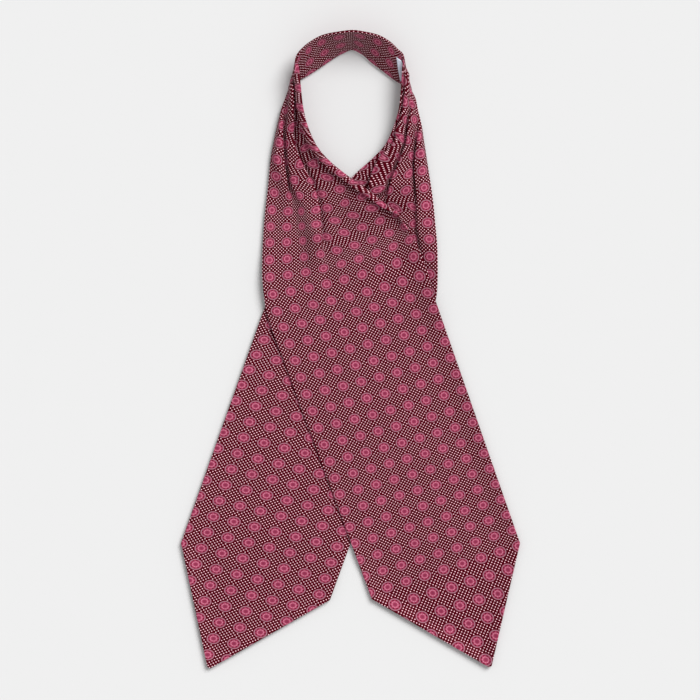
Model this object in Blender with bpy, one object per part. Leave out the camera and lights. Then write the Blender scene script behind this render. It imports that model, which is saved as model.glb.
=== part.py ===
"""Silk cravat laid flat: two pleated blades that cross, the band round the back of the neck, and a label.

Sizes in the tables are millimetres. X runs to the right, Y runs up to the neck, and the cloth rests on Z = 0.
Each blade is one strip of cloth. Its rows run across it, from the outer edge to the edge at the neck, and a
row's "along" is its distance from the shoulder seam, measured down the middle of the strip.
"""

import math
from collections import namedtuple

import bmesh
import bpy
import numpy as np

MM = 0.001

# Cloth
BLADE_WALL = 1.2
SHOULDER_WALL = 1.3
SHOULDER_ENDS = 110.0
BAND_WALL = 2.4
SEAM_GAP = 0.9
LABEL_GAP = 0.3
NEXT_ROW = 1.0
FOLD_GAP = 0.8
LABEL_WALL = 1.0

# How finely the walls are stepped
ARC_STEPS = 3
PANEL_STEPS = 3
FRONT_STEP = 12.0
BLADE_ROWS = 9
TIP_ROWS = 5
BAND_ROWS = 26
BAND_COLUMNS = 6
SHARES = 41

# Shape of a fold
SHORTEST_TUCK = 0.6
SHORTEST_RAMP = 3.0
CLIMB_ROOM = 1.1
SHORTEST_STEP = 0.8
SOFT_BEND = 0.03
NO_ROLL = (0, 0)
ROUND_END = 0.02

# The over blade is raised where the under blade lies below it
FIELD_CELL = 2.0
FIELD_SPREAD = 13.0
FIELD_SOFTEN = 7.0
LIE_ON_GAP = 0.8

Row = namedtuple("Row", "along out_x out_y in_x in_y bow rise")
Pleat = namedtuple("Pleat", "along share turn tuck")
Roll = namedtuple("Roll", "along turn width")
Ruling = namedtuple("Ruling", "along low_x low_y up_x up_y rise")
Strip = namedtuple("Strip", "rows corner_out corner_in tip pleats roll")

# The strip that passes over: from the left shoulder to the lower right blade. The first row of each front is
# a ruling of the neckband, so that the two meet in one smooth surface.
OVER_FRONT = [
    Row(-5, -53.5, 252.5, -48.5, 281.0, 0.0, 19.0),
    Row(0, -57.0, 250.0, -50.5, 277.0, 0.0, 19.0),
    Row(12, -58.5, 245.5, -48.5, 265.0, 0.0, 19.0),
    Row(28, -61.5, 237.5, -46.5, 248.0, 0.0, 18.5),
    Row(45, -65.5, 226.0, -44.0, 229.0, 0.0, 17.0),
    Row(62, -69.0, 213.5, -39.0, 210.5, 1.0, 14.5),
    Row(78, -72.5, 198.0, -31.0, 193.5, 2.5, 12.0),
    Row(95, -75.5, 182.0, -20.0, 180.0, 5.0, 10.0),
    Row(112, -77.0, 166.0, -7.0, 168.5, 7.0, 8.5),
    Row(129, -78.5, 150.0, 6.0, 158.5, 8.5, 7.5),
    Row(145, -80.5, 133.5, 18.5, 149.0, 8.5, 6.0),
    Row(162, -82.0, 117.0, 31.0, 139.5, 8.5, 4.5),
    Row(179, -83.0, 101.0, 45.0, 130.0, 8.0, 3.0),
    Row(195, -83.5, 85.0, 53.0, 117.5, 7.5, 1.5),
    Row(212, -83.5, 68.0, 60.0, 106.0, 6.5, 0.5),
    Row(229, -82.0, 51.0, 66.5, 90.5, 5.0, 0.0),
    Row(245, -79.5, 35.0, 73.5, 72.5, 3.5, 0.0),
    Row(262, -74.5, 19.5, 77.5, 55.0, 2.0, 0.0),
]
OVER_CORNER_OUT = (20.0, -236.0)
OVER_CORNER_IN = (160.5, -183.0)
OVER_TIP = (133.0, -301.8)

# A pleat's share is the place of its fold across the row, and its turn is 180 degrees where the cloth is
# folded right back on itself. Its tuck is how far it goes back.
OVER_PLEATS = {
    "outer": [
        Pleat(0, 0.08, 0, 0),
        Pleat(28, 0.10, 15, 0),
        Pleat(45, 0.13, 60, 0),
        Pleat(62, 0.16, 110, 1),
        Pleat(78, 0.20, 160, 2),
        Pleat(95, 0.22, 175, 4),
        Pleat(112, 0.23, 150, 3),
        Pleat(129, 0.23, 60, 1),
        Pleat(145, 0.22, 0, 0),
    ],
    "long": [
        Pleat(0, 0.24, 0, 0),
        Pleat(12, 0.27, 70, 0),
        Pleat(28, 0.34, 150, 2),
        Pleat(45, 0.43, 170, 3),
        Pleat(62, 0.47, 180, 4),
        Pleat(78, 0.50, 180, 5),
        Pleat(95, 0.55, 180, 7),
        Pleat(112, 0.57, 180, 9),
        Pleat(129, 0.55, 180, 9),
        Pleat(145, 0.52, 178, 8),
        Pleat(162, 0.48, 165, 5),
        Pleat(179, 0.43, 120, 2),
        Pleat(195, 0.41, 50, 0),
        Pleat(212, 0.40, 0, 0),
    ],
}

# The neck edge of the over blade is turned over outwards in a narrow roll.
OVER_ROLL = [
    Roll(0, 40, 0.6),
    Roll(20, 180, 5.0),
    Roll(78, 180, 5.0),
    Roll(95, 180, 6.0),
    Roll(129, 180, 7.0),
    Roll(162, 180, 4.0),
    Roll(179, 150, 1.0),
    Roll(195, 40, 0.6),
    Roll(206, 0, 0.6),
]

# The strip that passes under: from the right shoulder to the lower left blade.
UNDER_FRONT = [
    Row(-5, 52.0, 250.0, 48.3, 280.5, 0.0, 17.0),
    Row(0, 56.0, 248.0, 49.5, 277.0, 0.0, 17.0),
    Row(12, 58.0, 244.0, 49.0, 265.0, 0.0, 17.5),
    Row(28, 61.5, 237.0, 48.0, 248.0, 0.0, 17.0),
    Row(45, 64.0, 226.0, 46.0, 228.5, 0.0, 15.5),
    Row(62, 67.0, 213.5, 41.0, 211.5, 1.0, 12.5),
    Row(78, 69.5, 198.0, 33.0, 194.5, 2.0, 9.5),
    Row(95, 72.0, 182.0, 20.5, 181.0, 4.0, 6.5),
    Row(112, 74.5, 166.0, 7.0, 169.0, 6.0, 4.0),
    Row(129, 77.0, 150.0, -5.5, 157.0, 7.0, 2.0),
    Row(145, 79.0, 133.5, -18.5, 146.5, 8.0, 0.8),
    Row(162, 80.5, 117.0, -31.0, 138.5, 8.0, 0.2),
    Row(179, 82.0, 101.0, -45.0, 130.0, 8.0, 0.0),
    Row(195, 82.5, 85.0, -53.0, 117.5, 7.5, 0.0),
    Row(212, 82.5, 68.0, -60.0, 106.0, 6.5, 0.0),
    Row(229, 81.5, 51.0, -66.5, 90.5, 5.0, 0.0),
    Row(245, 78.0, 35.0, -73.0, 72.5, 3.5, 0.0),
    Row(262, 74.0, 19.5, -76.0, 55.0, 2.0, 0.0),
]
UNDER_CORNER_OUT = (-19.5, -237.0)
UNDER_CORNER_IN = (-160.5, -183.0)
UNDER_TIP = (-135.0, -302.8)

UNDER_PLEATS = {
    "outer": [
        Pleat(0, 0.06, 0, 0),
        Pleat(45, 0.07, 0, 0),
        Pleat(62, 0.10, 50, 0),
        Pleat(78, 0.18, 140, 1),
        Pleat(95, 0.21, 178, 4),
        Pleat(112, 0.19, 170, 3),
        Pleat(129, 0.17, 130, 1),
        Pleat(145, 0.165, 90, 0),
        Pleat(162, 0.16, 70, 0),
        Pleat(179, 0.13, 40, 0),
        Pleat(195, 0.12, 0, 0),
    ],
    "middle": [
        Pleat(0, 0.22, 0, 0),
        Pleat(28, 0.24, 15, 0),
        Pleat(45, 0.28, 80, 0),
        Pleat(62, 0.42, 150, 2),
        Pleat(78, 0.52, 175, 4),
        Pleat(95, 0.535, 180, 5),
        Pleat(112, 0.54, 165, 4),
        Pleat(129, 0.51, 80, 1),
        Pleat(145, 0.50, 0, 0),
    ],
    "inner": [
        Pleat(0, 0.66, 0, 0),
        Pleat(12, 0.62, 120, 0),
        Pleat(28, 0.62, 170, 2),
        Pleat(45, 0.74, 175, 3),
        Pleat(62, 0.83, 180, 3),
        Pleat(78, 0.87, 180, 4),
        Pleat(95, 0.835, 180, 6),
        Pleat(112, 0.78, 178, 7),
        Pleat(129, 0.73, 140, 4),
        Pleat(145, 0.70, 50, 0),
        Pleat(162, 0.70, 0, 0),
    ],
}
UNDER_ROLL = None

OVER = Strip(OVER_FRONT, OVER_CORNER_OUT, OVER_CORNER_IN, OVER_TIP, OVER_PLEATS, OVER_ROLL)
UNDER = Strip(UNDER_FRONT, UNDER_CORNER_OUT, UNDER_CORNER_IN, UNDER_TIP, UNDER_PLEATS, UNDER_ROLL)

# The band stands on its lower edge and leans back, so its inner face shows. Its first and last rulings are
# rows of the two fronts, past the shoulder seams.
NECKBAND = [
    Ruling(-12, -58.5, 245.5, -48.5, 265.0, 19.0),
    Ruling(0, -57.0, 250.0, -50.5, 277.0, 19.0),
    Ruling(5, -53.5, 252.5, -48.5, 281.0, 19.0),
    Ruling(12, -46.0, 256.5, -44.5, 285.5, 19.5),
    Ruling(26, -32.5, 264.5, -37.5, 291.0, 21.5),
    Ruling(41, -19.5, 273.5, -26.5, 296.5, 24.5),
    Ruling(56, -8.0, 280.5, -11.5, 299.4, 28.0),
    Ruling(67, 1.5, 284.0, 1.5, 300.6, 29.5),
    Ruling(77, 10.0, 280.5, 13.0, 299.4, 28.5),
    Ruling(91, 20.5, 271.5, 26.5, 296.5, 25.0),
    Ruling(106, 33.5, 261.5, 37.5, 290.5, 21.0),
    Ruling(121, 46.0, 252.5, 45.0, 283.5, 18.0),
    Ruling(128, 52.0, 250.0, 48.3, 280.5, 17.0),
    Ruling(133, 56.0, 248.0, 49.5, 277.0, 17.0),
    Ruling(145, 58.0, 244.0, 49.0, 265.0, 17.5),
]

# The label's ends along the band, and its edges as shares of the band's width.
BAND_LENGTH = 133.0
LABEL_START_LOW = 123.0
LABEL_START_UP = 118.5
LABEL_END = 131.5
LABEL_LOW = 0.12
LABEL_UP = 0.76
LABEL_ROWS = 6
LABEL_COLUMNS = 6

SILK = (0.25, 0.015, 0.045, 1.0)
LABEL_CLOTH = (0.62, 0.66, 0.78, 1.0)


def smooth_through(table, at):
    """The table's other columns at these values of its first, on one smooth curve through its rows."""
    table = np.array(table, float)
    key, values = table[:, 0], table[:, 1:]
    slope = np.gradient(values, key, axis=0)
    k = np.clip(np.searchsorted(key, at) - 1, 0, len(key) - 2)
    length = (key[k + 1] - key[k])[:, None]
    u = (at - key[k])[:, None] / length
    start = values[k] + u * length * slope[k] * (1 - u) ** 2
    climb = (values[k + 1] - values[k]) * u * u * (3 - 2 * u)
    return start + climb - u * u * (1 - u) * length * slope[k + 1]


def straight_through(table, at):
    """The table's other columns at one value of its first, straight between rows and level past its ends."""
    table = np.array(table, float)
    return [float(np.interp(at, table[:, 0], column)) for column in table.T[1:]]


def ease(u):
    u = min(max(u, 0.0), 1.0)
    return u * u * (3 - 2 * u)


def wall_at(along):
    return SHOULDER_WALL + (BLADE_WALL - SHOULDER_WALL) * ease(along / SHOULDER_ENDS)


def curl_at(along):
    """How the height climbs across a row: evenly at the shoulder, and mostly near the neck further down."""
    return 1.0 + ease(along / SHOULDER_ENDS)


def rows_of(strip, front_step, blade_rows, tip_rows):
    """Each row down a strip: (along, outer point, inner point, bow, rise, share of the corner's width)."""
    end = strip.rows[-1].along
    along = np.append(-NEXT_ROW, np.linspace(0, end, round(end / front_step) + 1))
    front = smooth_through(strip.rows, along)
    rows = [(a, row[0:2], row[2:4], row[4], row[5], 1.0) for a, row in zip(along, front)]
    _, last_out, last_in, last_bow, _, _ = rows[-1]
    corner_out, corner_in, tip = map(np.array, (strip.corner_out, strip.corner_in, strip.tip))
    corner = end + np.linalg.norm(corner_out - last_out)
    for u in np.linspace(0, 1, blade_rows + 1)[1:]:
        out, inner = last_out + u * (corner_out - last_out), last_in + u * (corner_in - last_in)
        rows.append((end + u * (corner - end), out, inner, last_bow * (1 - u), 0.0, 1.0))
    reach = np.linalg.norm(tip - (corner_out + corner_in) / 2)
    for u in np.linspace(0, 1 - ROUND_END, tip_rows + 1)[1:]:
        out, inner = corner_out + u * (tip - corner_out), corner_in + u * (tip - corner_in)
        rows.append((corner + u * reach, out, inner, 0.0, 0.0, 1 - u))
    return rows


def arc_points(start, turn, radius, steps):
    """An arc that starts level and turns down by this angle, seen along the strip."""
    angles = turn * np.arange(steps + 1) / steps
    return [(start[0] + radius * math.sin(a), start[1] - radius * (1 - math.cos(a))) for a in angles]


def levelling_arc(start, turn, radius, steps):
    """An arc that starts this far down and turns level again."""
    angles = turn * (1 - np.arange(steps + 1) / steps)
    return [
        (
            start[0] + radius * (math.sin(turn) - math.sin(a)),
            start[1] - radius * (math.cos(a) - math.cos(turn)),
        )
        for a in angles
    ]


def bend_radius(turn, layer, width):
    """A tight bend round one layer, or a soft one where the cloth turns little and the row is wide."""
    tight = turn * layer / 2
    soft = min(math.pi * layer / 2, width * SOFT_BEND)
    return max(tight, soft) / turn


def fold(tip, turn, tuck, layer, free_from, width):
    """A knife pleat whose fold reaches tip, as (start, its height, where it is high from, its points).

    The cloth before it needs room to climb, and where it is folded right back, room for the tuck beneath.
    """
    turn = math.radians(max(turn, 1.0))
    radius = bend_radius(turn, layer, width)
    start = tip - radius * math.sin(min(turn, math.pi / 2))
    climb = 2 * radius * (1 - math.cos(turn)) * CLIMB_ROOM if free_from else 0.0
    free_from += 2 * SHORTEST_STEP + climb
    backward = max(-math.cos(turn), 0.0)
    bend_back = radius * (1 - math.sin(turn)) + SHORTEST_STEP if backward else 0.0
    start = max(start, free_from + bend_back + SHORTEST_TUCK * backward)
    tuck = max(tuck, SHORTEST_TUCK)
    if backward:
        tuck = max(min(tuck, (start - bend_back - free_from) / backward), SHORTEST_TUCK)
    drop = 2 * radius * (1 - math.cos(turn)) + tuck * math.sin(turn)
    down = arc_points((start, drop), turn, radius, ARC_STEPS)
    tucked = (down[-1][0] + tuck * math.cos(turn), down[-1][1] - tuck * math.sin(turn))
    points = down + levelling_arc(tucked, turn, radius, ARC_STEPS)
    furthest_back = min(x for x, _ in points)
    return start, drop, min(start, furthest_back) - SHORTEST_STEP, points


def section(width, folds, roll, wall, panel_steps):
    """The middle of the wall across one row, as (distance from the outer edge, height) points.

    Each panel lies low where it comes out from under the pleat before it, and climbs to its own fold.
    """
    layer = wall + FOLD_GAP
    line = []
    here, free_from = 0.0, 0.0
    for tip, turn, tuck in folds:
        start, drop, high_from, points = fold(tip, turn, tuck, layer, free_from, width)
        first = not line
        low_until = 0.0 if first else max(here + SHORTEST_STEP, free_from)
        high_from = max(high_from, low_until + SHORTEST_STEP)
        begin = drop * (1 - ease((high_from - low_until) / SHORTEST_RAMP)) if first else 0.0
        for u in np.linspace(0, 1, panel_steps + 2):
            line.append((low_until + u * (high_from - low_until), begin + (drop - begin) * ease(u)))
        line += points
        here, free_from = points[-1][0], max(x for x, _ in points) + SHORTEST_STEP
    low_until = max(here + SHORTEST_STEP, free_from)
    turn, back = roll
    turn = math.radians(max(turn, 1.0))
    radius = bend_radius(turn, layer, width)
    back = max(back, SHORTEST_TUCK)
    reach = radius * math.sin(turn) + back * math.cos(turn) if turn < math.pi / 2 else radius
    last = width - reach if roll != NO_ROLL else width
    last = max(last, low_until + SHORTEST_STEP)
    line += [(low_until + u * (last - low_until), 0.0) for u in np.linspace(0, 1, panel_steps + 2)]
    if roll != NO_ROLL:
        up = [(x, -y) for x, y in arc_points((last, 0.0), turn, radius, ARC_STEPS)]
        end = (up[-1][0] + back * math.cos(turn), up[-1][1] + back * math.sin(turn))
        line += up[1:] + [((up[-1][0] + end[0]) / 2, (up[-1][1] + end[1]) / 2), end]
    line = np.array(line)
    line[:, 0] *= min(1.0, width / line[:, 0].max())
    return line


def flat_strip(strip, rows, height_below):
    """The strip's surface without its pleats, as rows of points at even shares across it."""
    share = np.linspace(0, 1, SHARES)
    grid = []
    for along, out, inner, bow, rise, _ in rows:
        plan = out + share[:, None] * (inner - out)
        plan[:, 1] -= bow * 4 * share * (1 - share)
        wall = wall_at(along)
        shoulder_lift = (BAND_WALL - wall) / 2 * (1 - ease(along / SHOULDER_ENDS))
        height = wall / 2 + shoulder_lift + rise * share ** curl_at(along)
        if height_below is not None:
            height = np.maximum(height, wall / 2 + height_below(plan))
        grid.append(np.column_stack([plan, height]))
    return np.array(grid)


def normals_of(surface, places, up_side):
    """The surface's unit normals, and the unit directions down the strip."""
    down_strip, across = np.gradient(surface, places, axis=0), np.gradient(surface, axis=1)
    normal = np.cross(down_strip, across) * up_side
    return [v / np.linalg.norm(v, axis=2, keepdims=True) for v in (normal, down_strip)]


def middle_of(strip, up_side, front_step, blade_rows, tip_rows, panel_steps, height_below=None):
    """The middle surface of a pleated strip, as rows of points, with each row's place along it and its wall.

    Pleats stand out from the surface along its normals, and are as wide as they are square to the strip.
    The first row is just past the shoulder seam, only to give the seam's own row its direction.
    """
    rows = rows_of(strip, front_step, blade_rows, tip_rows)
    places = np.array([row[0] for row in rows])
    surface = flat_strip(strip, rows, height_below)
    normals, ways = normals_of(surface, places, up_side)
    shares = np.linspace(0, 1, SHARES)
    grid, walls = [], []
    for (along, *_, narrowed), line, normal, way in zip(rows, surface, normals, ways):
        step = np.linalg.norm(np.cross(np.diff(line, axis=0), (way[1:] + way[:-1]) / 2), axis=1)
        reach = np.concatenate([[0], np.cumsum(step)]) / narrowed
        wall = wall_at(along)
        folds = [straight_through(pleat, along) for pleat in strip.pleats.values()]
        folds = [(np.interp(share, shares, reach), turn, tuck) for share, turn, tuck in folds]
        roll = tuple(straight_through(strip.roll, along)) if strip.roll else NO_ROLL
        across = section(reach[-1], folds, roll, wall, panel_steps)
        out_from_surface = across[:, 1] * narrowed
        points = [
            np.interp(across[:, 0], reach, line[:, axis])
            + out_from_surface * np.interp(across[:, 0], reach, normal[:, axis])
            for axis in range(3)
        ]
        grid.append(np.column_stack(points))
        walls.append(wall)
    return np.array(grid), places, np.array(walls)[:, None, None]


def faces_of(middle, places, wall, up_side):
    """The wall's two faces, half its thickness to each side of its middle, and nowhere below the floor."""
    normal, _ = normals_of(middle, places, up_side)
    upper, lower = middle + normal * wall / 2, middle - normal * wall / 2
    upper[..., 2], lower[..., 2] = np.maximum(upper[..., 2], 0), np.maximum(lower[..., 2], 0)
    return upper, lower


def spread(field, reach, combine):
    """Each cell of a field combined with all those within reach of it."""
    cells = int(math.ceil(reach / FIELD_CELL))
    edge = [(cells, cells)] * 2
    padded = np.pad(field, edge)
    stack = [
        padded[cells + i : cells + i + field.shape[0], cells + j : cells + j + field.shape[1]]
        for i in range(-cells, cells + 1)
        for j in range(-cells, cells + 1)
        if math.hypot(i, j) * FIELD_CELL <= reach
    ]
    return combine(stack, axis=0)


def height_over(upper):
    """A function for how high a cloth has to lie to rest on this face, draped over its edges."""
    low = upper[..., :2].reshape(-1, 2).min(axis=0) - 4 * FIELD_SPREAD
    high = upper[..., :2].reshape(-1, 2).max(axis=0) + 4 * FIELD_SPREAD
    field = np.zeros(np.ceil((high - low) / FIELD_CELL).astype(int) + 1)
    cells = np.round((upper[..., :2] - low) / FIELD_CELL).astype(int)
    np.maximum.at(field, (cells[..., 0], cells[..., 1]), upper[..., 2] + LIE_ON_GAP)
    field = spread(spread(field, FIELD_SPREAD, np.max), FIELD_SOFTEN, np.mean)

    def height(plan):
        place = np.clip((plan - low) / FIELD_CELL, 0, np.array(field.shape) - 1.01)
        i, j = np.floor(place).astype(int).T
        u, v = (place - np.floor(place)).T
        near = field[i, j] * (1 - v) + field[i, j + 1] * v
        far = field[i + 1, j] * (1 - v) + field[i + 1, j + 1] * v
        return near * (1 - u) + far * u

    return height


def silk_material(name, colour, roughness):
    material = bpy.data.materials.get(name) or bpy.data.materials.new(name)
    material.use_nodes = True
    surface = material.node_tree.nodes["Principled BSDF"]
    surface.inputs["Base Color"].default_value = colour
    surface.inputs["Roughness"].default_value = roughness
    surface.inputs["Metallic"].default_value = 0.0
    return material


def make_wall(name, upper, lower, material, parent):
    """A closed wall between two grids of points."""
    rows, columns, _ = upper.shape
    mesh = bpy.data.meshes.new(name)
    form = bmesh.new()
    top = [[form.verts.new(point * MM) for point in line] for line in upper]
    under = [[form.verts.new(point * MM) for point in line] for line in lower]
    for i in range(rows - 1):
        for j in range(columns - 1):
            form.faces.new((top[i][j], top[i + 1][j], top[i + 1][j + 1], top[i][j + 1]))
            form.faces.new((under[i][j], under[i][j + 1], under[i + 1][j + 1], under[i + 1][j]))
        for j in (0, columns - 1):
            form.faces.new((top[i][j], top[i + 1][j], under[i + 1][j], under[i][j]))
    for i in (0, rows - 1):
        for j in range(columns - 1):
            form.faces.new((top[i][j], top[i][j + 1], under[i][j + 1], under[i][j]))
    bmesh.ops.recalc_face_normals(form, faces=form.faces)
    if form.calc_volume(signed=True) < 0:
        bmesh.ops.reverse_faces(form, faces=form.faces)
    form.to_mesh(mesh)
    form.free()
    mesh.shade_smooth()
    mesh.set_sharp_from_angle(angle=math.radians(50))
    mesh.materials.append(material)
    piece = bpy.data.objects.new(name, mesh)
    piece.parent = parent
    bpy.context.scene.collection.objects.link(piece)
    return piece


def band_middle(at, columns):
    """The middle of the neckband at these places along it. Each of its rulings is straight."""
    lines = smooth_through(NECKBAND, at)
    low, up, rise = lines[:, None, 0:2], lines[:, None, 2:4], lines[:, None, 4:5]
    share = np.linspace(0, 1, columns)[None, :, None]
    return np.concatenate([low + share * (up - low), BAND_WALL / 2 + share * rise], axis=2)


def seam_inset(line, towards):
    """Moves a ruling a seam's gap towards its neighbour."""
    step = towards - line
    return line + step / np.linalg.norm(step, axis=1, keepdims=True) * SEAM_GAP


def make_blade(name, strip, up_side, material, parent, height_below=None):
    steps = (FRONT_STEP, BLADE_ROWS, TIP_ROWS, PANEL_STEPS)
    middle, places, wall = middle_of(strip, up_side, *steps, height_below)
    upper, lower = faces_of(middle, places, wall, up_side)
    return make_wall(name, upper[1:], lower[1:], material, parent)


def make_neckband(material, parent):
    within = np.linspace(0, BAND_LENGTH, BAND_ROWS)
    places = np.concatenate([[-NEXT_ROW], within, [BAND_LENGTH + NEXT_ROW]])
    upper, lower = faces_of(band_middle(places, BAND_COLUMNS), places, BAND_WALL, up_side=1)
    upper, lower = upper[1:-1].copy(), lower[1:-1].copy()
    for face in (upper, lower):
        face[0], face[-1] = seam_inset(face[0], face[1]), seam_inset(face[-1], face[-2])
    return make_wall("neckband", upper, lower, material, parent)


def make_label(material, parent):
    """A small label on the inner face of the band at the right shoulder, made from the band's points."""
    places = np.linspace(LABEL_START_LOW, LABEL_END, LABEL_ROWS)
    patch = []
    for across in np.linspace(LABEL_LOW, LABEL_UP, LABEL_COLUMNS):
        share = (across - LABEL_LOW) / (LABEL_UP - LABEL_LOW)
        start = LABEL_START_LOW + share * (LABEL_START_UP - LABEL_START_LOW)
        band = band_middle(np.linspace(start, LABEL_END, LABEL_ROWS), 101)
        patch.append(band[:, round(across * 100)])
    middle = np.array(patch).transpose(1, 0, 2)
    inner_face, _ = faces_of(middle, places, BAND_WALL + 2 * LABEL_GAP, up_side=1)
    normal, _ = normals_of(middle, places, up_side=1)
    outwards = normal.mean(axis=(0, 1))
    outer_face = inner_face + outwards / np.linalg.norm(outwards) * LABEL_WALL
    return make_wall("label", outer_face, inner_face, material, parent)


def main():
    for old in list(bpy.data.objects):
        bpy.data.objects.remove(old)
    silk = silk_material("silk", SILK, 0.45)
    label_cloth = silk_material("label_cloth", LABEL_CLOTH, 0.6)
    cravat = bpy.data.objects.new("cravat", None)
    bpy.context.scene.collection.objects.link(cravat)

    height = height_over(faces_of(*middle_of(UNDER, -1, FIELD_CELL, 120, 50, 24), up_side=-1)[0])
    make_blade("under_blade", UNDER, -1, silk, cravat)
    make_blade("over_blade", OVER, 1, silk, cravat, height)
    make_neckband(silk, cravat)
    make_label(label_cloth, cravat)


if __name__ == "__main__":
    main()
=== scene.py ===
"""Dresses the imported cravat: printed silk on both blades and the neckband, a bare label, and the stage.

The tables are those of the solids, in millimetres: X runs right, Y runs up to the neck, and the cloth lies on
Z = 0. Each blade is one strip, and a row's "along" is its distance from the shoulder seam down the strip.
"""

import math
from collections import namedtuple

import bmesh
import bpy
import numpy as np
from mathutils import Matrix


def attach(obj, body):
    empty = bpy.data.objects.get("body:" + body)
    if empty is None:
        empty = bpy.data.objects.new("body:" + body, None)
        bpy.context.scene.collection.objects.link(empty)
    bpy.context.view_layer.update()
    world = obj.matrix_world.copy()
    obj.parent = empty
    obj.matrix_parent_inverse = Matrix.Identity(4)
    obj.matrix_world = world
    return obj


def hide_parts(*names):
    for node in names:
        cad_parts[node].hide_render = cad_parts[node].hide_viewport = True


bl_info = {
    "name": "Silk cravat",
    "version": (1, 0, 0),
    "blender": (4, 5, 0),
    "location": "3D View > Sidebar > Cravat",
    "description": "Pleated and printed silk cravat, laid flat",
    "category": "Add Mesh",
}

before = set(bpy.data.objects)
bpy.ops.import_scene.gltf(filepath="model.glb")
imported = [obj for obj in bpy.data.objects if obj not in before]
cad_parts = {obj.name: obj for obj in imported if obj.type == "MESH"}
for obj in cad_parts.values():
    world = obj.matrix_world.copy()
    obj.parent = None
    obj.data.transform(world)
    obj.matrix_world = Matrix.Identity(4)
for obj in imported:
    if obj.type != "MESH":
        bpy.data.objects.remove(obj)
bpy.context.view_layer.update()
MM = 0.001

# Cloth
BLADE_WALL = 1.2
SHOULDER_WALL = 1.3
SHOULDER_ENDS = 110.0
BAND_WALL = 2.4
SEAM_GAP = 0.6
LABEL_GAP = 0.3
NEXT_ROW = 1.0
FOLD_GAP = 1.2
LABEL_WALL = 1.0

# How finely the walls are stepped
ARC_STEPS = 7
PANEL_STEPS = 12
FRONT_STEP = 2.5
BLADE_ROWS = 70
TIP_ROWS = 40
BAND_ROWS = 160
BAND_COLUMNS = 24
SHARES = 81
EDGE_STEPS = 4

# Shape of a fold: its shortest parts, the least turn that it is drawn for, the room that it needs to climb,
# how softly a wide row bends, and how close and how sharp the climb gets next to a fold that turns this far
SHORTEST_TUCK = 0.6
SHORTEST_RAMP = 3.0
SHORTEST_STEP = 0.8
LEAST_TURN = 1.0
CLIMB_ROOM = 1.1
SOFT_BEND = 0.03
CLIMB_WIDTH = 5.0
CLOSER = 0.7
SHARP_FROM = 120.0

# The neck edge: how much rounder its roll gets below the shoulder, and how many climbs of room a puff needs
ROLL_ROUND = 0.8
PUFF_ROOM = 0.3
NO_ROLL = (0, 0)

# The free edges lift off what lies below them, apart from where the blades cross
EDGE_LIFT = 2.8
EDGE_LIFT_WIDTH = 11.0
LIFT_FROM = 60.0
CROSSED_FROM = 200.0
CROSSED_TO = 470.0

# Edges: how much of a blade's point is left blunt, how much of the step next to an edge may round off, and
# below which lengths points are merged and faces are closed up
ROUND_END = 0.02
ROUNDING_KEEPS = 0.9
SAME_POINT = 0.0002
NO_EDGE = 0.0001

# The over blade is raised where the under blade lies below it. How high the one below reaches is kept for
# square cells, in a field that goes past the cloth by so many spreads.
FIELD_CELL = 2.0
FIELD_SPREAD = 13.0
FIELD_SOFTEN = 7.0
FIELD_MARGIN = 4
FIELD_INSIDE = 1.01
LIE_ON_GAP = 0.5
BELOW_STEPS = (FIELD_CELL, 120, 50, 24)

# Which way a strip's upper side faces, from the shoulder it starts at
FROM_LEFT = 1
FROM_RIGHT = -1

Row = namedtuple("Row", "along out_x out_y in_x in_y bow rise")
Pleat = namedtuple("Pleat", "along share turn tuck before behind")
Print = namedtuple("Print", "along across_out along_out pitch slope")
Crease = namedtuple("Crease", "from_x from_y to_x to_y height left right")
Roll = namedtuple("Roll", "along turn width")
Ruling = namedtuple("Ruling", "along low_x low_y up_x up_y rise")
Strip = namedtuple("Strip", "rows corner_out corner_in tip pleats roll puff printed printed_tip creases")
Fade = namedtuple("Fade", "full none")
Ring = namedtuple("Ring", "radius full none")

# The strip that passes over: from the left shoulder to the lower right blade. The first row of each front is
# a ruling of the neckband, so that the two meet in one smooth surface.
OVER_FRONT = [
    Row(-5, -53.5, 252.5, -48.5, 281.0, 0.0, 19.0),
    Row(0, -57.0, 250.0, -50.5, 277.0, 0.0, 19.0),
    Row(12, -58.5, 245.5, -48.5, 265.0, 0.0, 19.0),
    Row(28, -61.5, 237.5, -46.5, 248.0, 0.0, 18.5),
    Row(45, -65.5, 226.0, -44.0, 229.0, 0.0, 17.0),
    Row(62, -69.0, 213.5, -39.0, 210.5, 1.0, 14.5),
    Row(78, -72.5, 198.0, -31.0, 193.5, 2.5, 12.0),
    Row(95, -75.5, 182.0, -20.0, 180.0, 5.0, 10.0),
    Row(112, -77.0, 166.0, -7.0, 168.5, 7.0, 8.5),
    Row(129, -78.5, 150.0, 6.0, 158.5, 8.5, 7.5),
    Row(145, -80.5, 133.5, 18.5, 149.0, 8.5, 6.0),
    Row(162, -82.0, 117.0, 31.0, 139.5, 8.5, 4.5),
    Row(179, -83.0, 101.0, 45.0, 130.0, 8.0, 3.0),
    Row(195, -83.5, 85.0, 53.0, 117.5, 7.5, 1.5),
    Row(212, -83.5, 68.0, 60.0, 106.0, 6.5, 0.5),
    Row(229, -82.0, 51.0, 66.5, 90.5, 5.0, 0.0),
    Row(245, -79.5, 35.0, 73.5, 72.5, 3.5, 0.0),
    Row(262, -74.5, 19.5, 77.5, 55.0, 2.0, 0.0),
]
OVER_CORNER_OUT = (20.0, -236.0)
OVER_CORNER_IN = (160.5, -183.0)
OVER_TIP = (133.0, -301.8)

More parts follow.
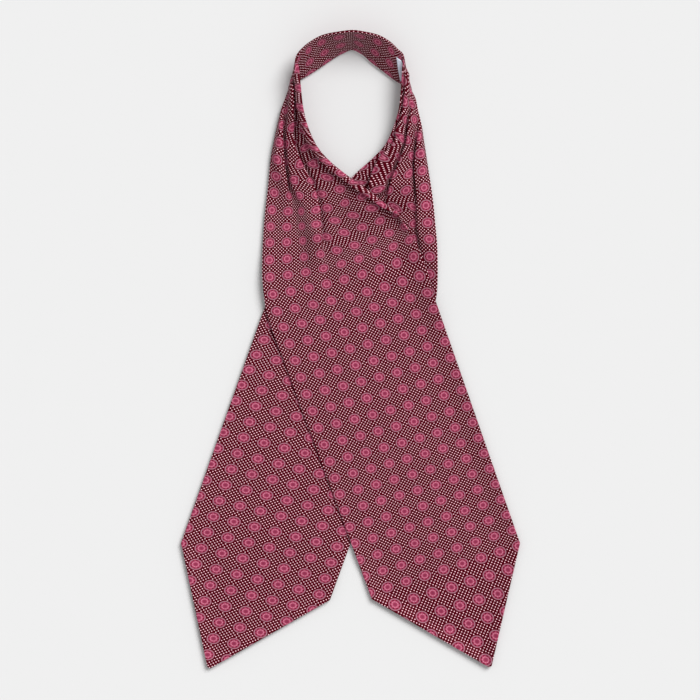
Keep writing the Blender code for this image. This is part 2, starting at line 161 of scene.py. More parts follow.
# A pleat's share is the place of its fold across the row, and its turn is 180 degrees where the cloth is
# folded right back on itself. Its tuck is how far it goes back. The further cloth gathered in fine crumples
# before its fold and behind it only moves the print on.
OVER_PLEATS = {
    "outer": [
        Pleat(0, 0.08, 0, 0, 0, 0),
        Pleat(28, 0.10, 15, 0, 0, 0),
        Pleat(45, 0.13, 60, 0, 0, 0),
        Pleat(62, 0.16, 110, 1, 0, 0),
        Pleat(78, 0.20, 160, 2, 0, 0),
        Pleat(95, 0.22, 175, 4, 0, -7),
        Pleat(112, 0.23, 150, 3, 0, 5),
        Pleat(129, 0.23, 60, 1, 2, 2),
        Pleat(145, 0.22, 0, 0, 3, 0),
        Pleat(162, 0.22, 0, 0, 3, 0),
        Pleat(179, 0.22, 0, 0, 2, 0),
        Pleat(212, 0.22, 0, 0, 0, 0),
    ],
    "long": [
        Pleat(0, 0.24, 0, 0, 0, 0),
        Pleat(12, 0.27, 70, 0, 0, 0),
        Pleat(28, 0.34, 150, 2, 0, 10),
        Pleat(45, 0.43, 170, 3, 0, 20),
        Pleat(62, 0.47, 180, 4, 0, 30),
        Pleat(78, 0.50, 180, 5, 0, 36),
        Pleat(95, 0.55, 180, 7, 0, 38),
        Pleat(112, 0.57, 180, 9, 0, 12),
        Pleat(129, 0.55, 180, 9, 5, 5),
        Pleat(145, 0.52, 178, 8, 7, 1),
        Pleat(162, 0.48, 165, 5, 6, 0),
        Pleat(179, 0.43, 120, 2, 5, 0),
        Pleat(195, 0.41, 50, 0, 2, 0),
        Pleat(212, 0.40, 0, 0, 0, 0),
    ],
}

# The neck edge of the over blade is turned over outwards in a narrow roll.
OVER_ROLL = [
    Roll(0, 40, 0.6),
    Roll(20, 180, 4.2),
    Roll(78, 180, 4.0),
    Roll(95, 180, 3.6),
    Roll(129, 180, 3.2),
    Roll(162, 180, 2.4),
    Roll(179, 140, 0.6),
    Roll(195, 40, 0.6),
    Roll(206, 0, 0.6),
]

# The strip that passes under: from the right shoulder to the lower left blade.
UNDER_FRONT = [
    Row(-5, 52.0, 250.0, 48.3, 280.5, 0.0, 17.0),
    Row(0, 56.0, 248.0, 49.5, 277.0, 0.0, 17.0),
    Row(12, 58.0, 244.0, 49.0, 265.0, 0.0, 17.5),
    Row(28, 61.5, 237.0, 48.0, 248.0, 0.0, 17.0),
    Row(45, 64.0, 226.0, 46.0, 228.5, 0.0, 15.5),
    Row(62, 67.0, 213.5, 41.0, 211.5, 1.0, 12.5),
    Row(78, 69.5, 198.0, 33.0, 194.5, 2.0, 9.5),
    Row(95, 72.0, 182.0, 20.5, 181.0, 4.0, 6.5),
    Row(112, 74.5, 166.0, 7.0, 169.0, 6.0, 4.0),
    Row(129, 77.0, 150.0, -5.5, 157.0, 7.0, 2.0),
    Row(145, 79.0, 133.5, -18.5, 146.5, 8.0, 0.8),
    Row(162, 80.5, 117.0, -31.0, 138.5, 8.0, 0.2),
    Row(179, 82.0, 101.0, -45.0, 130.0, 8.0, 0.0),
    Row(195, 82.5, 85.0, -53.0, 117.5, 7.5, 0.0),
    Row(212, 82.5, 68.0, -60.0, 106.0, 6.5, 0.0),
    Row(229, 81.5, 51.0, -66.5, 90.5, 5.0, 0.0),
    Row(245, 78.0, 35.0, -73.0, 72.5, 3.5, 0.0),
    Row(262, 74.0, 19.5, -76.0, 55.0, 2.0, 0.0),
]
UNDER_CORNER_OUT = (-19.5, -237.0)
UNDER_CORNER_IN = (-160.5, -183.0)
UNDER_TIP = (-135.0, -302.8)

UNDER_PLEATS = {
    "outer": [
        Pleat(0, 0.06, 0, 0, 0, 0),
        Pleat(45, 0.07, 0, 0, 0, 0),
        Pleat(62, 0.10, 50, 0, 0, 0),
        Pleat(78, 0.18, 140, 1, 0, -2),
        Pleat(95, 0.21, 178, 4, 0, -7),
        Pleat(112, 0.19, 170, 3, 0, -14),
        Pleat(129, 0.17, 130, 1, 0, -9),
        Pleat(145, 0.165, 90, 0, 0, 5),
        Pleat(162, 0.16, 70, 0, 0, 1),
        Pleat(179, 0.13, 40, 0, 0, 0),
        Pleat(195, 0.12, 0, 0, 0, 0),
    ],
    "middle": [
        Pleat(0, 0.22, 0, 0, 0, 0),
        Pleat(28, 0.24, 15, 0, 0, 0),
        Pleat(45, 0.28, 80, 0, 0, 0),
        Pleat(62, 0.42, 150, 2, 0, 0),
        Pleat(78, 0.52, 175, 4, 0, 6),
        Pleat(95, 0.535, 180, 5, 0, 4),
        Pleat(112, 0.54, 165, 4, 0, 0),
        Pleat(129, 0.51, 80, 1, 0, 0),
        Pleat(145, 0.50, 0, 0, 0, 0),
    ],
    "inner": [
        Pleat(0, 0.66, 0, 0, 0, 0),
        Pleat(12, 0.62, 120, 0, 0, 0),
        Pleat(28, 0.62, 170, 2, 0, 0),
        Pleat(45, 0.74, 175, 3, 0, 0),
        Pleat(62, 0.83, 180, 3, 0, 8),
        Pleat(78, 0.87, 180, 4, 0, 8),
        Pleat(95, 0.835, 180, 6, 0, 6),
        Pleat(112, 0.78, 178, 7, 0, 3),
        Pleat(129, 0.73, 140, 4, 0, 0),
        Pleat(145, 0.70, 50, 0, 0, 0),
        Pleat(162, 0.70, 0, 0, 0, 0),
    ],
}
UNDER_ROLL = None

# How far the cloth next to the neck edge puffs up beside the last pleat
OVER_PUFF = 2.0
UNDER_PUFF = 0.6

# Where the print lies on each strip, counted in its own repeats. At the outer edge of a row it has come to
# (across_out, along_out). Across the row a repeat is pitch long, and slope is how it slants.
OVER_PRINT = [
    Print(0, -0.42, -12.7, 17.3, 0.0),
    Print(212, -0.42, 0.0, 17.3, 0.0),
    Print(262, -0.64, 3.0, 17.5, 0.0),
    Print(400, -0.46, 11.14, 17.5, -0.0018),
    Print(535, 0.04, 19.42, 18.6, -0.0033),
]
OVER_PRINT_TIP = (4.06, 24.5)
UNDER_PRINT = [
    Print(0, -0.42, -12.26, 17.3, 0.0),
    Print(175, -0.42, -2.0, 17.3, 0.0),
    Print(262, -0.45, 3.1, 18.5, 0.0),
    Print(361, -0.50, 9.34, 19.8, -0.0026),
    Print(535, -0.57, 20.18, 20.0, -0.0079),
]
UNDER_PRINT_TIP = (3.74, 25.85)

# Soft ridges that the hands left in the cloth: from one point to another, as seen from above, with how far
# each reaches to the left and to the right of that way.
OVER_CREASES = [
    Crease(-36, 128, -33, 40, 1.0, 7, 7),
    Crease(-8, 132, 6, 60, 0.8, 10, 10),
    Crease(24, 124, 34, 60, 0.7, 9, 9),
    Crease(-60, -20, 5, -70, 0.6, 13, 13),
    Crease(20, -60, 96, -120, 0.7, 14, 14),
    Crease(60, -190, 128, -165, 0.6, 13, 13),
    Crease(70, -235, 120, -262, 0.5, 10, 10),
]
UNDER_CREASES = [
    Crease(47, 214, 18, 152, 3.5, 12, 2),
    Crease(74, 150, 76, 90, 0.8, 6, 6),
    Crease(-60, -70, -118, -110, 0.7, 13, 13),
    Crease(-70, -160, -140, -196, 0.7, 14, 14),
    Crease(-90, -215, -130, -262, 0.5, 11, 11),
]

OVER = Strip(
    OVER_FRONT,
    OVER_CORNER_OUT,
    OVER_CORNER_IN,
    OVER_TIP,
    OVER_PLEATS,
    OVER_ROLL,
    OVER_PUFF,
    OVER_PRINT,
    OVER_PRINT_TIP,
    OVER_CREASES,
)
UNDER = Strip(
    UNDER_FRONT,
    UNDER_CORNER_OUT,
    UNDER_CORNER_IN,
    UNDER_TIP,
    UNDER_PLEATS,
    UNDER_ROLL,
    UNDER_PUFF,
    UNDER_PRINT,
    UNDER_PRINT_TIP,
    UNDER_CREASES,
)

# The band stands on its lower edge and leans back, so its inner face shows. Its first and last rulings are
# rows of the two fronts, past the shoulder seams.
NECKBAND = [
    Ruling(-12, -58.5, 245.5, -48.5, 265.0, 19.0),
    Ruling(0, -57.0, 250.0, -50.5, 277.0, 19.0),
    Ruling(5, -53.5, 252.5, -48.5, 281.0, 19.0),
    Ruling(12, -46.0, 256.5, -44.5, 285.5, 19.5),
    Ruling(26, -32.5, 264.5, -37.5, 291.0, 21.5),
    Ruling(41, -19.5, 273.5, -26.5, 296.5, 24.5),
    Ruling(56, -8.0, 280.5, -11.5, 299.4, 28.0),
    Ruling(67, 1.5, 284.0, 1.5, 300.6, 29.5),
    Ruling(77, 10.0, 280.5, 13.0, 299.4, 28.5),
    Ruling(91, 20.5, 271.5, 26.5, 296.5, 25.0),
    Ruling(106, 33.5, 261.5, 37.5, 290.5, 21.0),
    Ruling(121, 46.0, 252.5, 45.0, 283.5, 18.0),
    Ruling(128, 52.0, 250.0, 48.3, 280.5, 17.0),
    Ruling(133, 56.0, 248.0, 49.5, 277.0, 17.0),
    Ruling(145, 58.0, 244.0, 49.0, 265.0, 17.5),
]

# The label's ends along the band, and its edges as shares of the band's width.
BAND_LENGTH = 133.0
LABEL_START_LOW = 123.0
LABEL_START_UP = 118.5
LABEL_END = 131.5
LABEL_LOW = 0.12
LABEL_UP = 0.76
LABEL_ROWS = 24
LABEL_COLUMNS = 48
LABEL_HEM = 0.9

# The print on the band, and the soft crease at the centre back
BAND_PRINT_FROM = 38.0
BAND_PRINT_PITCH = 17.8
BAND_PRINT_ROWS = 13.0
BAND_WIDTH = 34.0
BAND_PRINT_LOW = 27.0
BACK_CREASE = 69.0
BACK_CREASE_DEPTH = 1.3
BACK_CREASE_WIDTH = 4.5

# The print: dots and beads are counted, and a medallion's parts are in shares of its radius, from where each
# shows in full to where it has gone. The ring of pearls shows by its base, and more at each bead.
DOTS_A_REPEAT = 10.0
DOT_EDGE = Fade(0.8, 1.2)
BEADS = 9.0
BEAD_SHARE = 0.30
BEAD_BASE = 0.65
PETALS = 8.0
BETWEEN_PETALS = Fade(0.6, -0.3)
HEART = Fade(0.16, 0.30)
PEARLS = Ring(0.46, 0.02, 0.13)
SPOTS = Ring(0.70, 0.03, 0.12)
RIM = Ring(0.91, 0.03, 0.09)
MEDALLION_EDGE = Fade(0.98, 1.04)
CLEAR_OF_DOTS = Fade(1.08, 1.14)

# How fine the unevenness of each surface is, in waves for each metre, and how far it goes
UNEVEN_SILK = 60.0
SILK_TONES = (0.90, 1.10)
SILK_ROUGHNESS = (0.36, 0.46)
SLUBS = 900.0
SLUB_RELIEF = 0.5
UNEVEN_RIBBON = 400.0
RIBBON_SHADE = 0.25
THREAD_FIBRES = 3000.0
PAPER_GRAIN = 40.0
PAPER_DARKER = 0.995

# The label's stitches
STITCH_UNEVENNESS = 0.12
STITCH_SEED = 7

# Stage
FLOOR_SIZE = 6.0
FLOOR_DROP = 0.0003
LAMP_SIZE = 35.0
LAMP_TILT = 46.0
LAMP_SIDE = 140.0
CAMERA_ASIDE = (-0.0005, -0.00024)
SEES_TO = 100


def smooth_through(table, at):
    """The table's other columns at these values of its first, on one smooth curve through its rows."""
    table = np.array(table, float)
    key, values = table[:, 0], table[:, 1:]
    slope = np.gradient(values, key, axis=0)
    k = np.clip(np.searchsorted(key, at) - 1, 0, len(key) - 2)
    length = (key[k + 1] - key[k])[:, None]
    u = (at - key[k])[:, None] / length
    start = values[k] + u * length * slope[k] * (1 - u) ** 2
    climb = (values[k + 1] - values[k]) * u * u * (3 - 2 * u)
    return start + climb - u * u * (1 - u) * length * slope[k + 1]


def straight_through(table, at):
    """The table's other columns at one value of its first, straight between rows, the same past its ends."""
    table = np.array(table, float)
    return [float(np.interp(at, table[:, 0], column)) for column in table.T[1:]]


def ease(u):
    """A smooth climb from 0 to 1, level at both ends."""
    u = min(max(u, 0.0), 1.0)
    return u * u * (3 - 2 * u)


def bulge(share):
    """0 at both edges and 1 halfway."""
    return 4 * share * (1 - share)


def wall_at(along):
    """How thick a blade's wall is this far down its strip."""
    return SHOULDER_WALL + (BLADE_WALL - SHOULDER_WALL) * ease(along / SHOULDER_ENDS)


def curl_at(along):
    """How the height climbs across a row: evenly at the shoulder, and mostly near the neck further down."""
    return 1.0 + ease(along / SHOULDER_ENDS)


def rows_of(strip, front_step, blade_rows, tip_rows):
    """(along, outer point, inner point, bow, rise, share of the corner's width) for each row of a strip."""
    end = strip.rows[-1].along
    along = np.append(-NEXT_ROW, np.linspace(0, end, round(end / front_step) + 1))
    front = smooth_through(strip.rows, along)
    rows = [(a, row[0:2], row[2:4], row[4], row[5], 1.0) for a, row in zip(along, front)]
    _, last_out, last_in, last_bow, _, _ = rows[-1]
    corner_out, corner_in, tip = map(np.array, (strip.corner_out, strip.corner_in, strip.tip))
    corner = end + np.linalg.norm(corner_out - last_out)
    for u in np.linspace(0, 1, blade_rows + 1)[1:]:
        out, inner = last_out + u * (corner_out - last_out), last_in + u * (corner_in - last_in)
        rows.append((end + u * (corner - end), out, inner, last_bow * (1 - u), 0.0, 1.0))
    reach = np.linalg.norm(tip - (corner_out + corner_in) / 2)
    for u in np.linspace(0, 1 - ROUND_END, tip_rows + 1)[1:]:
        out, inner = corner_out + u * (tip - corner_out), corner_in + u * (tip - corner_in)
        rows.append((corner + u * reach, out, inner, 0.0, 0.0, 1 - u))
    return rows


def arc_points(start, turn, radius, steps):
    """An arc that starts level and turns down by this angle, seen along the strip."""
    angles = turn * np.arange(steps + 1) / steps
    return [(start[0] + radius * math.sin(a), start[1] - radius * (1 - math.cos(a))) for a in angles]


def levelling_arc(start, turn, radius, steps):
    """An arc that starts this far down and turns level again."""
    angles = turn * (1 - np.arange(steps + 1) / steps)
    return [
        (
            start[0] + radius * (math.sin(turn) - math.sin(a)),
            start[1] - radius * (math.cos(a) - math.cos(turn)),
        )
        for a in angles
    ]


def bend_radius(turn, layer, width):
    """A tight bend round one layer, or a soft one where the cloth turns little and the row is wide."""
    tight = turn * layer / 2
    soft = min(math.pi * layer / 2, width * SOFT_BEND)
    return max(tight, soft) / turn


def fold(tip, turn, tuck, layer, free_from, width):
    """A knife pleat whose fold reaches tip.

    It gives where the pleat starts, its height, where the cloth has to be high from, and the pleat's points.
    The cloth before it needs room to climb, and where it is folded right back, room for the tuck beneath.
    """
    turn = math.radians(max(turn, LEAST_TURN))
    radius = bend_radius(turn, layer, width)
    start = tip - radius * math.sin(min(turn, math.pi / 2))
    climb = 2 * radius * (1 - math.cos(turn)) * CLIMB_ROOM if free_from else 0.0
    free_from += 2 * SHORTEST_STEP + climb
    backward = max(-math.cos(turn), 0.0)
    bend_back = radius * (1 - math.sin(turn)) + SHORTEST_STEP if backward else 0.0
    start = max(start, free_from + bend_back + SHORTEST_TUCK * backward)
    tuck = max(tuck, SHORTEST_TUCK)
    if backward:
        tuck = max(min(tuck, (start - bend_back - free_from) / backward), SHORTEST_TUCK)
    drop = 2 * radius * (1 - math.cos(turn)) + tuck * math.sin(turn)
    down = arc_points((start, drop), turn, radius, ARC_STEPS)
    tucked = (down[-1][0] + tuck * math.cos(turn), down[-1][1] - tuck * math.sin(turn))
    points = down + levelling_arc(tucked, turn, radius, ARC_STEPS)
    furthest_back = min(x for x, _ in points)
    return start, drop, min(start, furthest_back) - SHORTEST_STEP, points


def section(width, folds, roll, wall, panel_steps):
    """The middle of the wall across one row, as (distance from the outer edge, height) points.

    Each panel lies low where it comes out from under the pleat before it, and climbs to its own fold. At the
    neck edge the last panel puffs up, and may be rolled over. The third column is the length of cloth so far,
    and the fourth the share of the wall's thickness, which rounds off at both edges.
    """
    layer = wall + FOLD_GAP
    line, extra = [], []
    here, free_from, sharp = 0.0, 0.0, 0.0
    for tip, turn, tuck, before, behind in folds:
        start, drop, high_from, points = fold(tip, turn, tuck, layer, free_from, width)
        first = not line
        low_until = 0.0 if first else max(here + SHORTEST_STEP, free_from)
        high_from = max(high_from, low_until + SHORTEST_STEP)
        begin = drop * (1 - ease((high_from - low_until) / SHORTEST_RAMP)) if first else 0.0
        climb_by = 1 + sharp * (min(1.0, CLIMB_WIDTH / (high_from - low_until)) - 1)
        for u in np.linspace(0, 1, panel_steps + 2) ** (1 + sharp * CLOSER):
            height = begin + (drop - begin) * ease(u / climb_by)
            line.append((low_until + u * (high_from - low_until), height))
        gathered = [0.0] + [before / (panel_steps + 1)] * (panel_steps + 1)
        extra += gathered + [0.0] * (ARC_STEPS + 1) + [behind] + [0.0] * ARC_STEPS
        line += points
        sharp = ease(turn / SHARP_FROM)
        here, free_from = points[-1][0], max(x for x, _ in points) + SHORTEST_STEP
    low_until = max(here + SHORTEST_STEP, free_from)
    turn, back, puff, roundness = roll
    puff *= sharp * ease((width - low_until) / CLIMB_WIDTH - PUFF_ROOM)
    turn = math.radians(max(turn, LEAST_TURN))
    radius = bend_radius(turn, layer, width) * roundness
    reach = radius * math.sin(turn) + back * math.cos(turn) if turn < math.pi / 2 else radius
    last = width - reach if back else width
    last = max(last, low_until + SHORTEST_STEP)
    for u in np.linspace(0, 1, panel_steps + 2) ** (1 + sharp * CLOSER):
        line.append((low_until + u * (last - low_until), puff * ease(u * (last - low_until) / CLIMB_WIDTH)))
    if back:
        up = [(x, puff - y) for x, y in arc_points((last, 0.0), turn, radius, ARC_STEPS)]
        end = (up[-1][0] + back * math.cos(turn), up[-1][1] + back * math.sin(turn))
        line += up[1:] + [((up[-1][0] + end[0]) / 2, (up[-1][1] + end[1]) / 2), end]
    line = np.array(line)
    line[:, 0] *= min(1.0, width / line[:, 0].max())
    extra += [0.0] * (len(line) - len(extra))
    line, extra, share = round_edges(line, np.array(extra), wall)
    length = np.concatenate([[0.0], np.cumsum(np.linalg.norm(np.diff(line, axis=0), axis=1))])
    return np.column_stack([line, length + np.cumsum(extra), share])


def rounding(radius):
    """How far in from an edge the wall has which share of its thickness, where it rounds off."""
    angles = np.linspace(0, math.pi / 2, EDGE_STEPS + 1)
    return radius * (1 - np.cos(angles)), np.sin(angles)


def round_edges(line, extra, wall):
    """Adds points close to both ends of a section, where the wall rounds off."""
    inset, share = rounding(wall / 2)
    span = np.linalg.norm(line[1] - line[0]), np.linalg.norm(line[-2] - line[-1])
    near, far = (np.minimum(inset, ROUNDING_KEEPS * share * length) / length for length in span)
    first = line[0] + near[:, None] * (line[1] - line[0])
    last = line[-1] + far[:, None] * (line[-2] - line[-1])
    full = np.ones(len(line) - 2)
    none = np.zeros(len(share))
    line = np.concatenate([first, line[1:-1], last[::-1]])
    return line, np.concatenate([none, extra[1:-1], none]), np.concatenate([share, full, share[::-1]])


def round_ends(middle, half, printed, wall):
    """Adds rows close to both ends of a strip, where the wall rounds off."""
    inset, share = rounding(wall / 2)
    for _ in range(2):
        span = np.linalg.norm(middle[1] - middle[0], axis=1).mean()
        steps = (np.minimum(inset, ROUNDING_KEEPS * share * span) / span)[:, None, None]
        shares = share[:, None, None]
        near = [grid[0] + steps * (grid[1] - grid[0]) for grid in (middle, half, printed)]
        near[1] = near[1] * shares
        middle, half, printed = (
            np.concatenate([added, grid[1:]])[::-1] for added, grid in zip(near, (middle, half, printed))
        )
    return middle, half, printed


def ridge_height(creases, plan):
    """How much higher the cloth lies at these points for its soft ridges."""
    height = np.zeros(len(plan))
    for crease in creases:
        start, end = np.array(crease[0:2]), np.array(crease[2:4])
        way = end - start
        along = (plan - start) @ way / (way @ way)
        aside = ((plan[:, 1] - start[1]) * way[0] - (plan[:, 0] - start[0]) * way[1]) / np.linalg.norm(way)
        fade = np.clip(1 - (2 * along - 1) ** 2, 0, 1)
        reach = np.where(aside > 0, crease.left, crease.right)
        height += crease.height * fade * np.exp(-((aside / reach) ** 2))
    return height


def edge_lift(strip, along, from_outer, from_inner):
    """How far the free edges lift off what lies below, at these distances from the outer and inner edge."""
    crossed = ease((along - CROSSED_FROM) / LIFT_FROM) - ease((along - CROSSED_TO) / LIFT_FROM)
    outer = ease(along / LIFT_FROM) - crossed
    inner = ease((along - strip.rows[-1].along + LIFT_FROM) / LIFT_FROM)
    lifts = [
        free * np.exp(-((distance / EDGE_LIFT_WIDTH) ** 2))
        for free, distance in ((outer, from_outer), (inner, from_inner))
    ]
    return EDGE_LIFT * np.maximum(*lifts)


def flat_strip(strip, rows, height_below):
    """The strip's surface without its pleats, as rows of points at even shares across it."""
    share = np.linspace(0, 1, SHARES)
    grid = []
    for along, out, inner, bow, rise, _ in rows:
        plan = out + share[:, None] * (inner - out)
        plan[:, 1] -= bow * bulge(share)
        wall = wall_at(along)
        shoulder_lift = (BAND_WALL - wall) / 2 * (1 - ease(along / SHOULDER_ENDS))
        height = wall / 2 + shoulder_lift + rise * share ** curl_at(along)
        if height_below is not None:
            height = np.maximum(height, wall / 2 + height_below(plan))
        width = np.linalg.norm(inner - out)
        height = height + ridge_height(strip.creases, plan)
        height += edge_lift(strip, along, share * width, (1 - share) * width)
        grid.append(np.column_stack([plan, height]))
    return np.array(grid)


def normals_of(surface, places, up_side):
    """The surface's unit normals, and the unit directions down the strip."""
    down_strip, across = np.gradient(surface, places, axis=0), np.gradient(surface, axis=1)
    normal = np.cross(down_strip, across) * up_side
    return [v / np.linalg.norm(v, axis=2, keepdims=True) for v in (normal, down_strip)]


def print_at(strip, along, length):
    """Where the print has come to along a row, in repeats across and along the strip."""
    across_out, along_out, pitch, slope = straight_through(strip.printed, along)
    return np.column_stack([across_out + length / pitch, along_out + length * slope])


def middle_of(strip, up_side, front_step, blade_rows, tip_rows, panel_steps, height_below=None):
    """The middle surface of a pleated strip, as rows of points, with each row's place, wall and print.

    Pleats stand out from the surface along its normals, and are as wide as they are square to the strip.
    The first row is just past the shoulder seam, only to give the seam's own row its direction.
    """
    rows = rows_of(strip, front_step, blade_rows, tip_rows)
    places = np.array([row[0] for row in rows])
    surface = flat_strip(strip, rows, height_below)
    normals, ways = normals_of(surface, places, up_side)
    shares = np.linspace(0, 1, SHARES)
    corner = max(row[0] for row in rows if row[-1] == 1)
    grid, thickness, printed = [], [], []
    for (along, *_, narrowed), line, normal, way in zip(rows, surface, normals, ways):
        step = np.diff(line, axis=0)
        if along < corner:
            step = np.cross(step, (way[1:] + way[:-1]) / 2)
        reach = np.concatenate([[0], np.cumsum(np.linalg.norm(step, axis=1))]) / narrowed
        wall = wall_at(along)
        folds = [straight_through(pleat, along) for pleat in strip.pleats.values()]
        folds = [(np.interp(share, shares, reach), *rest) for share, *rest in folds]
        settled = ease(along / SHOULDER_ENDS)
        roll = straight_through(strip.roll, along) if strip.roll else NO_ROLL
        roll = (*roll, strip.puff * settled, 1 + ROLL_ROUND * settled)
        across = section(reach[-1], folds, roll, wall, panel_steps)
        out_from_surface = across[:, 1] * narrowed
        points = [
            np.interp(across[:, 0], reach, line[:, axis])
            + out_from_surface * np.interp(across[:, 0], reach, normal[:, axis])
            for axis in range(3)
        ]
        grid.append(np.column_stack(points))
        thickness.append(wall * across[:, 3])
        if narrowed == 1:
            repeats = print_at(strip, along, across[:, 2])
        printed.append(np.array(strip.printed_tip) * (1 - narrowed) + repeats * narrowed)
    return np.array(grid), places, np.array(thickness)[..., None], np.array(printed)


def faces_of(middle, places, wall, up_side):
    """The wall's two faces, half its thickness to each side of its middle, and nowhere below the floor."""
    normal, _ = normals_of(middle, places, up_side)
    upper, lower = middle + normal * wall / 2, middle - normal * wall / 2
    upper[..., 2], lower[..., 2] = np.maximum(upper[..., 2], 0), np.maximum(lower[..., 2], 0)
    return upper, lower


def spread(field, reach, combine):
    """Each cell of a field combined with all those within reach of it."""
    cells = int(math.ceil(reach / FIELD_CELL))
    edge = [(cells, cells)] * 2
    padded = np.pad(field, edge)
    stack = [
        padded[cells + i : cells + i + field.shape[0], cells + j : cells + j + field.shape[1]]
        for i in range(-cells, cells + 1)
        for j in range(-cells, cells + 1)
        if math.hypot(i, j) * FIELD_CELL <= reach
    ]
    return combine(stack, axis=0)


def height_over(upper):
    """A function for how high a cloth has to lie to rest on this face, softly draped over its edges."""
    low = upper[..., :2].reshape(-1, 2).min(axis=0) - FIELD_MARGIN * FIELD_SPREAD
    high = upper[..., :2].reshape(-1, 2).max(axis=0) + FIELD_MARGIN * FIELD_SPREAD
    field = np.zeros(np.ceil((high - low) / FIELD_CELL).astype(int) + 1)
    cells = np.round((upper[..., :2] - low) / FIELD_CELL).astype(int)
    np.maximum.at(field, (cells[..., 0], cells[..., 1]), upper[..., 2] + LIE_ON_GAP)
    field = spread(spread(field, FIELD_SPREAD, np.max), FIELD_SOFTEN, np.mean)

    def height(plan):
        place = np.clip((plan - low) / FIELD_CELL, 0, np.array(field.shape) - FIELD_INSIDE)
        i, j = np.floor(place).astype(int).T
        u, v = (place - np.floor(place)).T
        near = field[i, j] * (1 - v) + field[i, j + 1] * v
        far = field[i + 1, j] * (1 - v) + field[i + 1, j + 1] * v
        return near * (1 - u) + far * u

    return height


def band_middle(at, shares):
    """The middle of the neckband at these places along it. Each of its rulings is straight."""
    lines = smooth_through(NECKBAND, at)
    low, up, rise = lines[:, None, 0:2], lines[:, None, 2:4], lines[:, None, 4:5]
    share = shares[None, :, None]
    return np.concatenate([low + share * (up - low), BAND_WALL / 2 + share * rise], axis=2)


def make_shell(name, upper, lower, printed, material):
    """A closed wall between two grids that meet at their edges, with the print's place as its UV map."""
    rows, columns, _ = upper.shape
    number = np.arange(rows * columns).reshape(rows, columns)
    quads = np.stack([number[:-1, :-1], number[1:, :-1], number[1:, 1:], number[:-1, 1:]], axis=-1)
    quads = quads.reshape(-1, 4)
    faces = np.concatenate([quads, quads[:, ::-1] + rows * columns])
    points = np.concatenate([upper.reshape(-1, 3), lower.reshape(-1, 3)]) * MM
    mesh = bpy.data.meshes.new(name)
    mesh.from_pydata(points.tolist(), [], faces.tolist())
    place = np.concatenate([printed.reshape(-1, 2)] * 2)
    mesh.uv_layers.new(name="print").data.foreach_set("uv", place[faces.reshape(-1)].ravel())
    form = bmesh.new()
    form.from_mesh(mesh)
    bmesh.ops.remove_doubles(form, verts=form.verts, dist=SAME_POINT * MM)
    bmesh.ops.dissolve_degenerate(form, edges=form.edges, dist=NO_EDGE * MM)
    bmesh.ops.recalc_face_normals(form, faces=form.faces)
    if form.calc_volume(signed=True) < 0:
        bmesh.ops.reverse_faces(form, faces=form.faces)
    form.to_mesh(mesh)
    form.free()
    mesh.shade_smooth()
    mesh.materials.append(material)
    piece = bpy.data.objects.new(name, mesh)
    bpy.context.scene.collection.objects.link(piece)
    return piece


def make_blade(name, strip, up_side, material, height_below=None):
    """One pleated strip as a closed wall, from its shoulder seam to its point."""
    steps = (FRONT_STEP, BLADE_ROWS, TIP_ROWS, PANEL_STEPS)
    middle, places, thickness, printed = middle_of(strip, up_side, *steps, height_below)
    upper, lower = faces_of(middle, places, thickness, up_side)
    middle, half = (upper + lower)[1:] / 2, (upper - lower)[1:] / 2
    middle, half, printed = round_ends(middle, half, printed[1:], SHOULDER_WALL)
    return make_shell(name, middle + half, middle - half, printed, material)


def make_neckband(material):
    """The folded band round the back of the neck, with a soft crease at its middle."""
    within = np.linspace(0, BAND_LENGTH, BAND_ROWS)
    places = np.concatenate([[-NEXT_ROW], within, [BAND_LENGTH + NEXT_ROW]])
    inset, thickness = rounding(BAND_WALL / 2)
    edge = inset / BAND_WIDTH
    shares = np.concatenate([edge, np.linspace(0, 1, BAND_COLUMNS + 2)[1:-1], 1 - edge[::-1]])
    shares[len(edge) : -len(edge)] = edge[-1] + (1 - 2 * edge[-1]) * shares[len(edge) : -len(edge)]
    thickness = np.concatenate([thickness, np.ones(BAND_COLUMNS), thickness[::-1]])
    middle = band_middle(places, shares)
    normal, _ = normals_of(middle, places, FROM_LEFT)
    crease = np.exp(-(((places - BACK_CREASE) / BACK_CREASE_WIDTH) ** 2))[:, None] * thickness
    middle = middle - normal * (BACK_CREASE_DEPTH * crease * bulge(shares))[..., None]
    upper, lower = faces_of(middle, places, BAND_WALL * thickness[:, None], FROM_LEFT)
    middle, half = (upper + lower)[1:-1] / 2, (upper - lower)[1:-1] / 2
    across = (within - BAND_PRINT_FROM) / BAND_PRINT_PITCH
    down = (shares * BAND_WIDTH - BAND_PRINT_LOW) / BAND_PRINT_ROWS
    printed = np.stack(np.meshgrid(across, down, indexing="ij"), axis=-1)
    for end, near in ((0, 1), (-1, -2)):
        middle[end] = seam_inset(middle[end], middle[near])
    middle, half, printed = round_ends(middle, half, printed, BAND_WALL)
    return make_shell("neckband_silk", middle + half, middle - half, printed, material)


def seam_inset(line, towards):
    """Moves a ruling a seam's gap towards its neighbour."""
    step = towards - line
    return line + step / np.linalg.norm(step, axis=1, keepdims=True) * SEAM_GAP


